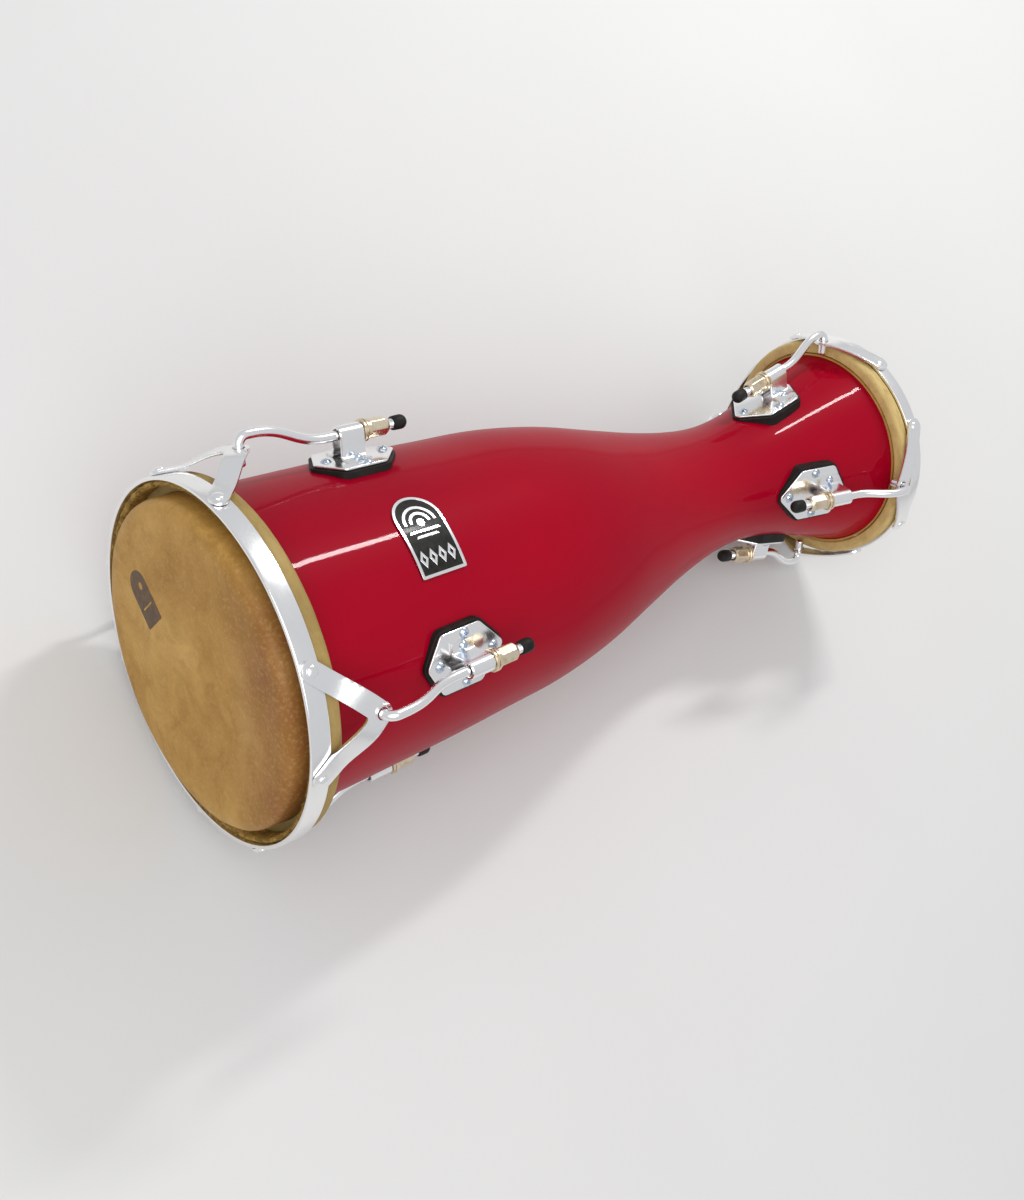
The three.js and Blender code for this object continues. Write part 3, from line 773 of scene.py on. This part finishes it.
def build_claw(end, k):
    """V strap that rises from the rim to the rod's hook, and its two rivet heads."""
    reach = end["claw_angle"] * end["rim"]
    run = end["apex_s"] - end["rivet_s"]
    length = math.hypot(reach, run)
    seat = end["rim"] + GAP + CLAW_THICKNESS / 2 + 0.1

    def bend(x, y, z):
        distance = ((x - end["rivet_s"]) * run + (reach - abs(y)) * reach) / length
        radius = seat + (end["apex_r"] - seat) * smooth_step(distance, length * 0.22, length * 0.85) + z
        return x, radius * math.sin(y / end["rim"]), radius * math.cos(y / end["rim"])

    hole = circle(end["apex_s"], 0, CLAW_HOLE)
    half = CLAW_THICKNESS / 2
    strap = slab(claw_outline(end), [hole], -half, half, 0.7, 4, bend)
    place = lug_frame(end, k)
    claw = make(f"{end['name']}_claw_strap_{k}", *strap, place, CHROME, 38)
    attach(claw, f"{end['name']}_head_hardware", "chrome_plate", f"{end['name']}_claw_{k}")
    edge = 0.25
    dome = [(-0.5, 0), (-0.5, RIVET_DOME_RADIUS), (edge, RIVET_DOME_RADIUS)]
    for n in range(9):
        turn = math.pi / 2 * n / 8
        dome.append((edge + RIVET_HEIGHT * math.sin(turn), RIVET_DOME_RADIUS * 0.96 * math.cos(turn)))
    stand = Matrix.Translation((end["rivet_s"], 0, end["rim"] + GAP + CLAW_THICKNESS))
    upright = Matrix.Rotation(-math.pi / 2, 4, "Y")
    pair = []
    for side in (-1, 1):
        swing = Matrix.Rotation(-side * end["claw_angle"], 4, "X")
        pair.append(moved(revolved(dome, 28), swing @ stand @ upright))
    rivets = make(f"{end['name']}_claw_rivets_{k}", *merge(*pair), place, CHROME, 50)
    attach(rivets, f"{end['name']}_head_hardware", "chrome_plate")


# ---- rods, nuts and caps -------------------------------------------------------------------------
def lug_point(end, x, z):
    """A seat-frame point as a vector in the lug frame."""
    s = end["plate_s"] + x * math.cos(end["tilt"]) + z * math.sin(end["tilt"])
    return Vector((s, 0, end["surface"] - x * math.sin(end["tilt"]) + z * math.cos(end["tilt"])))


def bezier(a, b, c, d, steps):
    """Points of a cubic curve, without the first one."""
    return [a * (1 - t) ** 3 + b * 3 * t * (1 - t) ** 2 + c * 3 * t * t * (1 - t) + d * t ** 3
            for t in (n / steps for n in range(1, steps + 1))]


def build_rod(end, k):
    """Hooked rod: through the claw, over the crest, S-bend, then straight and threaded to the cap."""

    def at(s, r):
        return Vector((s, 0, r))

    tip, crest, apex = end["hook_tip"], end["crest"], end["apex_s"]
    hook_top = crest - ROD_CURL
    crest_start = apex + ROD_CURL
    shift = end["saddle_shift"]
    straight = lug_point(end, SADDLE_START - 8 + shift, ROD_HEIGHT)
    run = straight.x - crest_start
    slope = math.tan(end["tilt"])
    path = [at(apex, tip + h) for h in (0, 0.4, 1.2)]
    tip_count = len(path)
    path += [at(apex, tip + (hook_top - tip) * n / 5) for n in range(1, 6)]
    path += bezier(at(apex, hook_top), at(apex, hook_top + ROD_CURL * 0.56),
                   at(crest_start - ROD_CURL * 0.44, crest), at(crest_start, crest), 10)
    path += bezier(at(crest_start, crest), at(crest_start + run * 0.5, crest),
                   at(straight.x - run * 0.45, straight.z + slope * run * 0.45), straight, 26)
    thread_start = NUT_END - 5
    path.append(lug_point(end, thread_start + shift, ROD_HEIGHT))
    plain = len(path)
    steps_per_turn = 8
    turns = int((CAP_START + 2.5 - thread_start) / THREAD_PITCH)
    for n in range(1, turns * steps_per_turn + 1):
        path.append(lug_point(end, thread_start + shift + THREAD_PITCH * n / steps_per_turn, ROD_HEIGHT))
    tip_share = (0.55, 0.82, 1.0)

    def radius(i, turn):
        if i < tip_count:
            return ROD_RADIUS * tip_share[i]
        if i < plain:
            return ROD_RADIUS
        phase = ((i - plain) / steps_per_turn + turn / TURN) % 1
        return ROD_RADIUS - THREAD_DEPTH * (1 - abs(2 * phase - 1))

    verts, faces = swept(path, radius, 24)
    rod = make(f"{end['name']}_rod_{k}", verts, faces, lug_frame(end, k), CHROME, 50)
    attach(rod, f"{end['name']}_head_hardware", "chrome_plate", f"{end['name']}_tuning_rod_{k}")


def build_nut(end, k):
    """Tall hexagonal nut with two flange rings, a collar and a chamfered end."""
    flat = NUT_ACROSS_FLATS / 2
    corner = flat / math.cos(math.pi / 6)
    columns = 96
    softening = 0.35

    def hexagon(turn):
        local = (turn + math.pi / 6) % (math.pi / 3) - math.pi / 6
        return min(flat / math.cos(local), corner - softening)

    ring = NUT_FLANGE_RADIUS
    neck = NUT_COLLAR_RADIUS
    neck_end = NUT_FLANGE + NUT_COLLAR
    rounds = [
        (0, NUT_BORE), (0, ring - 0.5), (0.4, ring), (1.5, ring), (1.8, ring - 0.4), (1.9, ring - 1.2),
        (2.7, ring - 1.2), (2.8, ring - 0.4), (3.1, ring), (NUT_FLANGE - 0.5, ring), (NUT_FLANGE, ring - 0.5),
        (NUT_FLANGE + 0.2, neck - 0.6), (NUT_FLANGE + 0.5, neck - 0.1), (NUT_FLANGE + 0.8, neck),
        (neck_end - 0.4, neck), (neck_end, neck - 0.5),
    ]
    rows = [(NUT_START + x, lambda turn, r=r: r) for x, r in rounds]
    rows.append((NUT_START + neck_end + 0.02, hexagon))
    chamfer = 3.4
    narrowing = 0.25
    steps = 7
    for n in range(steps + 1):
        x = NUT_END - chamfer + chamfer * n / steps
        limit = corner * (1 - narrowing * n / steps) + 0.1
        rows.append((x, lambda turn, limit=limit: min(hexagon(turn), limit)))
    rows.append((NUT_END + 0.02, lambda turn: NUT_BORE + 0.5))
    rows.append((NUT_END - 0.4, lambda turn: NUT_BORE))
    verts = []
    for x, radius in rows:
        for j in range(columns):
            turn = TURN * j / columns
            r = radius(turn)
            verts.append((x, r * math.sin(turn), r * math.cos(turn)))
    faces = grid_faces(len(rows), columns, closed_rows=True)
    nut = make(f"{end['name']}_flanged_nut_{k}", verts, faces, saddle_frame(end, k), ZINC, 28)
    attach(nut, f"{end['name']}_nut_{k}", "zinc_plate", f"{end['name']}_nut_{k}")


def build_cap(end, k):
    """Rubber cap: a lip, a straight sleeve and a rounded end."""
    sleeve = CAP_RADIUS - 0.3
    round_length = 5.6
    round_start = CAP_START + CAP_LENGTH - round_length
    lip = [(0, -0.9), (0.3, -0.4), (1, -0.2), (1.6, -0.5), (2.2, -0.1)]
    profile = [(CAP_START, 0)] + [(CAP_START + x, sleeve + r) for x, r in lip]
    for n in range(13):
        turn = math.pi / 2 * n / 12
        profile.append((round_start + round_length * math.sin(turn), sleeve * math.cos(turn) ** 0.9))
    profile[-1] = (CAP_START + CAP_LENGTH, 0)
    cap = make(f"{end['name']}_ball_cap_{k}", *revolved(profile, 36), saddle_frame(end, k), RUBBER, 40)
    attach(cap, f"{end['name']}_head_hardware", "black_rubber", f"{end['name']}_rod_cap_{k}")


# ---- lug plates ----------------------------------------------------------------------------------
def plate_outline(border, radius):
    """Hexagonal outline, grown by a border all round."""
    wide = PLATE_HALF_WIDTH + border
    rim_side = PLATE_SHOULDER_RIM - border * 0.6
    waist_side = PLATE_SHOULDER_WAIST + border * 0.6
    tip = PLATE_TIP + border * 1.3
    corners = [(-tip, 0), (rim_side, -wide), (waist_side, -wide),
               (tip, 0), (waist_side, wide), (rim_side, wide)]
    return rounded(corners, radius, 4)


def shell_height(end, x, y):
    """Height of the shell surface over the seat frame's plane, under the point x, y."""
    z = 0.0
    for _ in range(12):
        point = lug_point(end, x, z)
        where = point.x if end is LARGE else DRUM_LENGTH - point.x
        z += math.sqrt(max(shell_radius(where) ** 2 - y * y, 0)) - point.z
    return z


def screw(x, y, z, spin, head):
    """Pan-head screw with a cross recess."""
    rings, columns = 12, 48
    verts = []
    for i in range(rings + 1):
        r = head * i / rings
        for j in range(columns):
            turn = TURN * j / columns
            px, py = r * math.cos(turn), r * math.sin(turn)
            height = SCREW_HEIGHT * (1 - (r / head) ** 2.6)
            if r < RECESS_REACH and min(abs(px), abs(py)) < RECESS_HALF_WIDTH:
                height -= 1.1 * (1 - r / 2.9)
            c, s = math.cos(spin), math.sin(spin)
            verts.append((x + px * c - py * s, y + px * s + py * c, z + max(height, 0)))
    faces = grid_faces(rings + 1, columns)
    base = len(verts)
    for j in range(columns):
        turn = TURN * j / columns + spin
        verts.append((x + head * math.cos(turn), y + head * math.sin(turn), z - 0.3))
    rim = rings * columns
    for j in range(columns):
        after = (j + 1) % columns
        faces.append((rim + j, rim + after, base + after, base + j))
    faces.append(tuple(base + j for j in range(columns - 1, -1, -1)))
    return verts, faces


def saddle():
    """Strap bent over the rod, with a foot each side on the plate."""
    mid = (SADDLE_OUTER + SADDLE_INNER) / 2
    half = (SADDLE_OUTER - SADDLE_INNER) / 2
    foot = PLATE_TOP + half
    bend_radius = 2.6
    line = [(FOOT_REACH, foot), (mid + bend_radius, foot)]
    for n in range(1, 7):
        turn = math.pi / 2 * n / 6
        y = mid + bend_radius - bend_radius * math.sin(turn)
        line.append((y, foot + bend_radius * (1 - math.cos(turn))))
    line.append((mid, (foot + ROD_HEIGHT) / 2 + 1))
    for n in range(0, 19):
        turn = math.pi * n / 18
        line.append((mid * math.cos(turn), ROD_HEIGHT + mid * math.sin(turn)))
    right = [(y, z) for y, z in line if not (y < 0)]
    left = [(-y, z) for y, z in reversed(right) if y > 1e-6]
    line = right + left
    edge = 0.5
    section = [(SADDLE_START + edge, -half), (SADDLE_START, -half + edge), (SADDLE_START, half - edge),
               (SADDLE_START + edge, half), (SADDLE_END - edge, half), (SADDLE_END, half - edge),
               (SADDLE_END, -half + edge), (SADDLE_END - edge, -half)]
    verts = []
    for i, (y, z) in enumerate(line):
        ahead = Vector(line[min(i + 1, len(line) - 1)])
        behind = Vector(line[max(i - 1, 0)])
        along = (ahead - behind).normalized()
        normal = Vector((along.y, -along.x))
        for x, lift in section:
            verts.append((x, y + normal.x * lift, z + normal.y * lift))
    faces = grid_faces(len(line), len(section))
    last = (len(line) - 1) * len(section)
    faces.append(tuple(range(len(section))))
    faces.append(tuple(last + n for n in range(len(section) - 1, -1, -1)))
    return verts, faces


def build_bracket(end, k):
    """Hexagonal plate, saddle, six screws and the rubber pad shaped to the shell."""
    place = seat_frame(end, k)
    name = end["name"]
    plate = slab(plate_outline(0, 5), [], PLATE_BOTTOM, PLATE_TOP, 0.8, 40, bevel_steps=3)
    base = make(f"{name}_lug_plate_{k}", *plate, place, CHROME, 30)
    attach(base, "drum_shell", "chrome_plate", f"{name}_lug_bracket_{k}")
    slide = Matrix.Translation((end["saddle_shift"], 0, 0))
    strap = make(f"{name}_lug_saddle_{k}", *saddle(), place @ slide, CHROME, 40)
    attach(strap, "drum_shell", "chrome_plate")
    middle = (SADDLE_START + SADDLE_END) / 2 + end["saddle_shift"]
    spots = [(x, y, PLATE_TOP) for x, y in SCREW_SPOTS]
    spots += [(middle, side * FOOT_SCREW_Y, PLATE_TOP + SADDLE_OUTER - SADDLE_INNER) for side in (-1, 1)]
    sizes = [PLATE_SCREW_RADIUS] * len(SCREW_SPOTS) + [SCREW_RADIUS] * 2
    heads = [screw(x, y, z, random.uniform(0, TURN), size) for (x, y, z), size in zip(spots, sizes)]
    screws = make(f"{name}_lug_screws_{k}", *merge(*heads), place, BLUE_ZINC, 35)
    attach(screws, "drum_shell", "zinc_plate")

    def seat(x, y, z):
        return (x, y, z) if z > -1 else (x, y, shell_height(end, x, y) + 0.25)

    pad = slab(plate_outline(GASKET_BORDER, 10), [], -2, GASKET_TOP, 0, 6, seat)
    gasket = make(f"{name}_rubber_pad_{k}", *pad, place, RUBBER, 40)
    attach(gasket, "drum_shell", "black_rubber", f"{name}_gasket_{k}")


# ---- badge and head stamp ------------------------------------------------------------------------
def arch(width, straight, base=0.0):
    """Outline with a flat base and a round crown; the crown starts at its third point."""
    half = width / 2
    steps = 20
    crown = [(half * math.cos(math.pi * n / steps), base + straight + half * math.sin(math.pi * n / steps))
             for n in range(steps + 1)]
    return [(-half, base), (half, base), *crown]


def build_badge():
    """Arched plate with a plain border, a generic rising-arc pattern and a row of diamonds."""
    height = BADGE_STRAIGHT + BADGE_WIDTH / 2

    def bend(x, y, z):
        radius = shell_radius(BADGE_CENTRE + x) + GAP + 0.1 + z
        turn = BADGE_ANGLE + (y - height / 2) / (shell_radius(BADGE_CENTRE) + GAP)
        return BADGE_CENTRE + x, radius * math.sin(turn), radius * math.cos(turn)

    border = 2.4
    plain = arch(BADGE_WIDTH, BADGE_STRAIGHT)
    outline = rounded(plain, [1.5, 1.5] + [0] * (len(plain) - 2), 3)
    field = make("badge_field", *slab(outline, [], 0, 0.8, 0, 4, bend), DRUM, ENAMEL, 40)
    attach(field, "drum_shell", "badge", "badge")
    inside = arch(BADGE_WIDTH - 2 * border, BADGE_STRAIGHT - border, border)
    pieces = [slab(outline, [inside], 0.7, BADGE_THICKNESS, 0.25, 4, bend, 1)]

    def raise_figure(shape, *holes):
        pieces.append(slab(shape, holes, 0.7, 1.2, 0.15, 4, bend, 1))

    centre = BADGE_STRAIGHT - 3
    line_width = 2.5
    for width in (30, 19):
        outer_arc = arch(width, 0, centre)
        inner_arc = arch(width - 2 * line_width, 0, centre)
        raise_figure(outer_arc[2:] + list(reversed(inner_arc[2:])))
    raise_figure(circle(0, centre, 3.4, 20))
    for y, half in ((35, 15), (30.5, 11)):
        raise_figure([(-half, y), (half, y), (half - 2, y + 2.2), (2 - half, y + 2.2)])
    for n in range(4):
        x, y = -13.2 + 8.8 * n, 14.5
        diamond = [(x - 3.8, y), (x, y - 7), (x + 3.8, y), (x, y + 7)]
        core = [(x + (px - x) * 0.4, y + (py - y) * 0.4) for px, py in diamond]
        raise_figure(diamond, core)
    trim = make("badge_trim", *merge(*pieces), DRUM, CHROME, 40)
    attach(trim, "drum_shell", "badge")


STAMP_Y, STAMP_Z = 71, -23
STAMP_LENGTH, STAMP_WIDTH = 45, 29
STAMP_TURN = math.radians(1.8)


def build_stamp():
    """Plain ink mark on the large head: a rounded bar with a clear dot and stripe."""
    half = STAMP_WIDTH / 2
    face = -LARGE["proud"]
    outline = rounded([(-STAMP_LENGTH / 2, -half), (STAMP_LENGTH / 2, -half), (STAMP_LENGTH / 2, half),
                       (-STAMP_LENGTH / 2, half)], [1.5, 14, 14, 1.5], 10)
    bar = [(-8, 5 - half), (-6.4, 5 - half), (-6.4, half - 5), (-8, half - 5)]
    place = DRUM @ Matrix.Translation((0, STAMP_Y, STAMP_Z)) @ Matrix.Rotation(STAMP_TURN, 4, "X")

    def lay(x, y, z):
        return face + 0.15 - z, x, y

    dot = circle(9, 3, 3.2, 20)
    mark = make("head_stamp", *slab(outline, [bar, dot], 0, 0.35, 0, 3, lay), place, INK, 60)
    attach(mark, "drum_shell", "rawhide")


build_shell()
build_badge()
build_stamp()
for end in ENDS:
    build_skin(end)
    build_hoop(end)
    build_fringe(end)
    build_rim(end)
    for k in range(1, LUGS + 1):
        build_claw(end, k)
        build_rod(end, k)
        build_nut(end, k)
        build_cap(end, k)
        build_bracket(end, k)

# ---- camera, floor and light ---------------------------------------------------------------------
# The camera stands in the drum's frame, where the photo's camera stood. Lamps and floor are in metres.
CAMERA_PLACE = Vector((-496.3, -228.1, 1086.7))
CAMERA_FORWARD = Vector((0.5783, 0.1419, -0.8034))
CAMERA_UP = Vector((0.2878, 0.8860, 0.3637))
FOCAL_LENGTH = 47.37
SENSOR = 36
FLOOR_REACH = 12
WORLD_COLOR = (0.96, 0.97, 1.0, 1)
WORLD_STRENGTH = 0.66


def build_camera():
    data = bpy.data.cameras.new("camera")
    data.sensor_width = SENSOR
    data.lens = FOCAL_LENGTH
    camera = bpy.data.objects.new("camera", data)
    bpy.context.scene.collection.objects.link(camera)
    back = -CAMERA_FORWARD.normalized()
    right = CAMERA_UP.cross(back).normalized()
    up = back.cross(right)
    turn = Matrix((right, up, back)).transposed().to_4x4()
    place = DRUM @ Matrix.Translation(CAMERA_PLACE) @ turn
    camera.matrix_world = Matrix.Translation(place.translation * MM) @ place.to_3x3().to_4x4()
    bpy.context.scene.camera = camera


def build_floor():
    reach = FLOOR_REACH
    corners = [(-reach, -reach, 0), (reach, -reach, 0), (reach, reach, 0), (-reach, reach, 0)]
    data = bpy.data.meshes.new("floor")
    data.from_pydata(corners, [], [(0, 1, 2, 3)])
    n = Nodes("pale_floor")
    n.link(n.ramp(n.noise(1.5, 3), ((0.3, (0.68, 0.675, 0.66)), (0.7, (0.71, 0.705, 0.69)))), "Base Color")
    n.set(Roughness=0.85, Specular_IOR_Level=0.2)
    data.materials.append(n.material)
    floor = bpy.data.objects.new("floor", data)
    bpy.context.scene.collection.objects.link(floor)


def softbox(name, place, target, size, power):
    """Rectangular lamp. Places and sizes are in metres, power in watts."""
    data = bpy.data.lights.new(name, "AREA")
    data.shape = "RECTANGLE"
    data.size, data.size_y = size
    data.energy = power
    lamp = bpy.data.objects.new(name, data)
    bpy.context.scene.collection.objects.link(lamp)
    lamp.location = place
    lamp.rotation_euler = (Vector(target) - Vector(place)).to_track_quat("-Z", "Y").to_euler()


def build_light():
    """Even pale surroundings, a large key lamp, and a strip that the shell reflects as one bright line."""
    world = bpy.data.worlds.new("studio")
    world.use_nodes = True
    background = world.node_tree.nodes["Background"]
    background.inputs["Color"].default_value = WORLD_COLOR
    background.inputs["Strength"].default_value = WORLD_STRENGTH
    bpy.context.scene.world = world
    softbox("key", (-1.1, -0.6, 1.8), (-0.1, 0, 0.1), (1.9, 1.9), 20)
    softbox("strip", (1.12, 1.13, 1.9), (1.12, 1.13, 0), (0.66, 0.15), 26)


build_camera()
build_floor()
build_light()
bpy.context.scene.view_settings.view_transform = "Standard"
